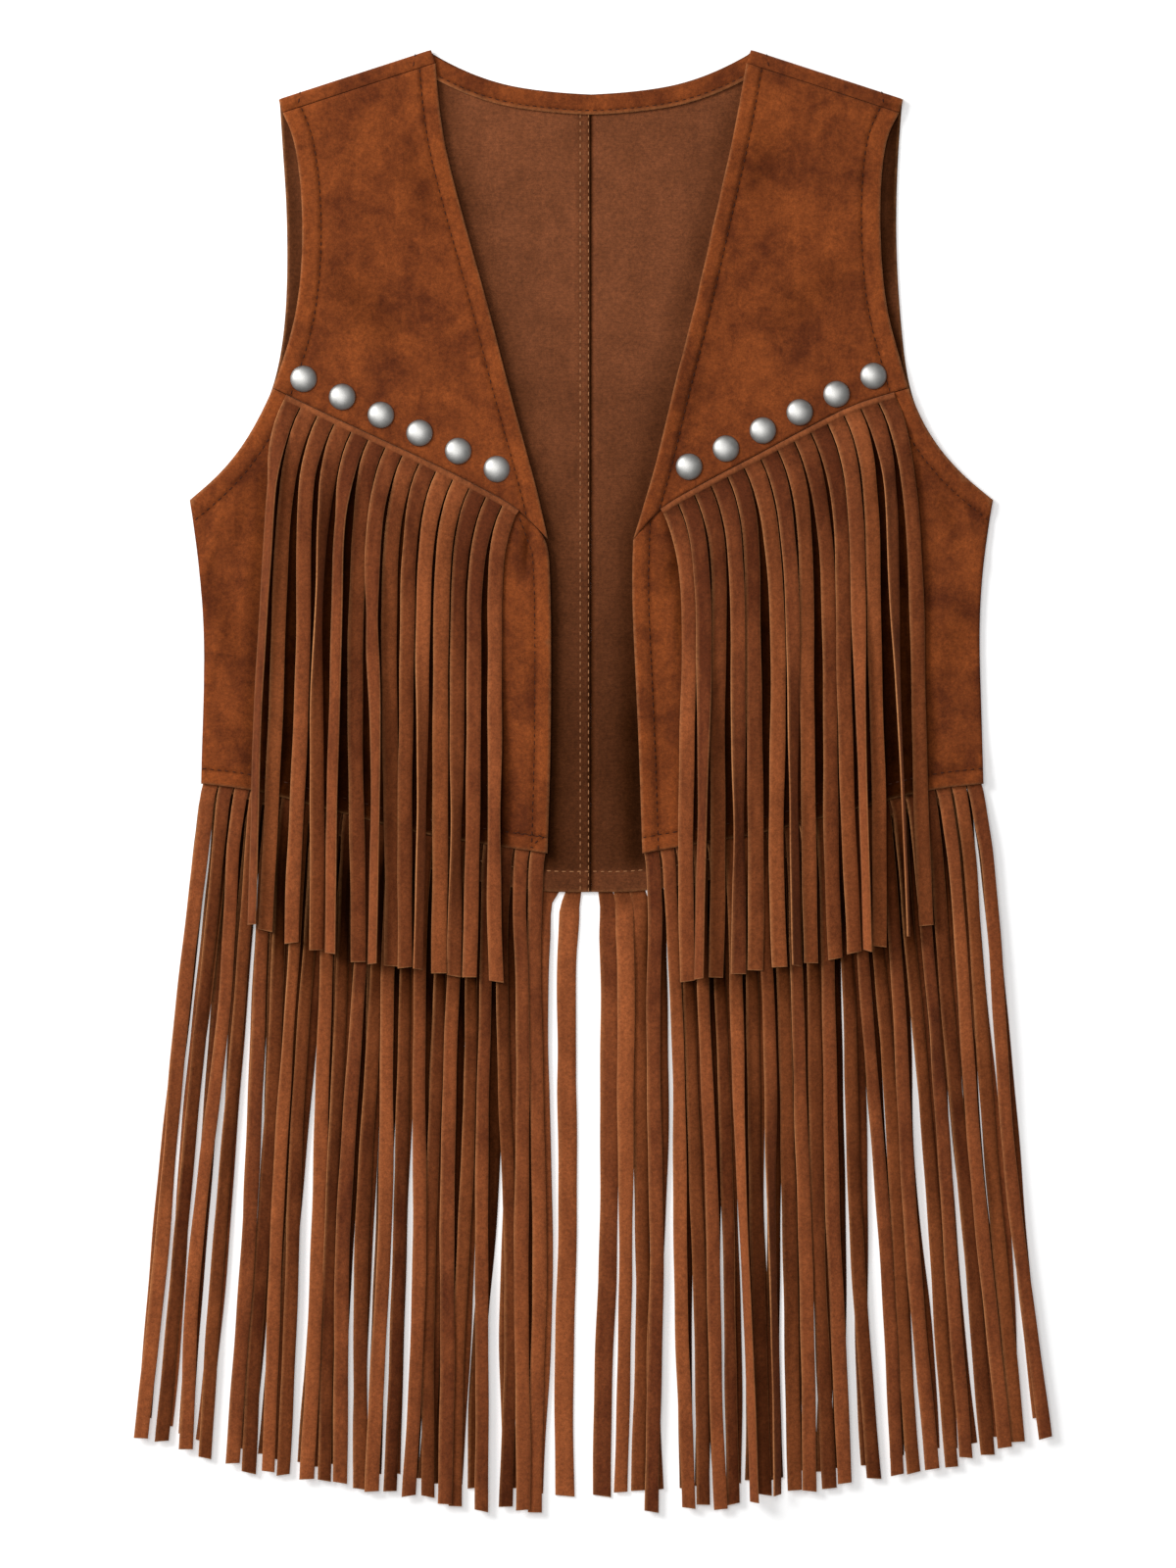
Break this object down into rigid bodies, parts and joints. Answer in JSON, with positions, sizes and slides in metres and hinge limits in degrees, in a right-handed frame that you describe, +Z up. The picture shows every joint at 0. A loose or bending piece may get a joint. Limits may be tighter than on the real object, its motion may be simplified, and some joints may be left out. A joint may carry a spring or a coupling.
{
  "type": "fringed western vest",
  "caption": "Sleeveless open-front vest of napped suede, laid flat, front up, with slanting front yokes, domed studs along them, and long cut fringes at chest and hem.",
  "frame": {"origin": "on the surface that the vest lies on, under the middle of its whole outline with the fringes", "axes": "+Y from the hem towards the neck, +X to the viewer's right, +Z up, away from the surface"},
  "size_m": [0.5126, 0.8205, 0.0184],
  "materials": {
    "suede": "napped rust-brown suede, mottled by brushing",
    "suede_inside": "smoother, browner inside face of the hide",
    "fringe_suede": "suede cut into strips, with paler cut edges",
    "stud_metal": "satin silver"
  },
  "bodies": {
    "root": {"back_left": "suede_inside", "back_right": "suede_inside", "back_neck_facing": "suede", "front_yoke_left": "suede", "front_yoke_right": "suede", "front_lower_left": "suede", "front_lower_right": "suede", "chest_fringe_left": "fringe_suede", "chest_fringe_right": "fringe_suede", "hem_fringe_front_left": "fringe_suede", "hem_fringe_front_right": "fringe_suede", "hem_fringe_back_left": "fringe_suede", "hem_fringe_back_right": "fringe_suede", "stud_left_1": "stud_metal", "stud_left_2": "stud_metal", "stud_left_3": "stud_metal", "stud_left_4": "stud_metal", "stud_left_5": "stud_metal", "stud_left_6": "stud_metal", "stud_right_1": "stud_metal", "stud_right_2": "stud_metal", "stud_right_3": "stud_metal", "stud_right_4": "stud_metal", "stud_right_5": "stud_metal", "stud_right_6": "stud_metal"}
  },
  "joints": []
}
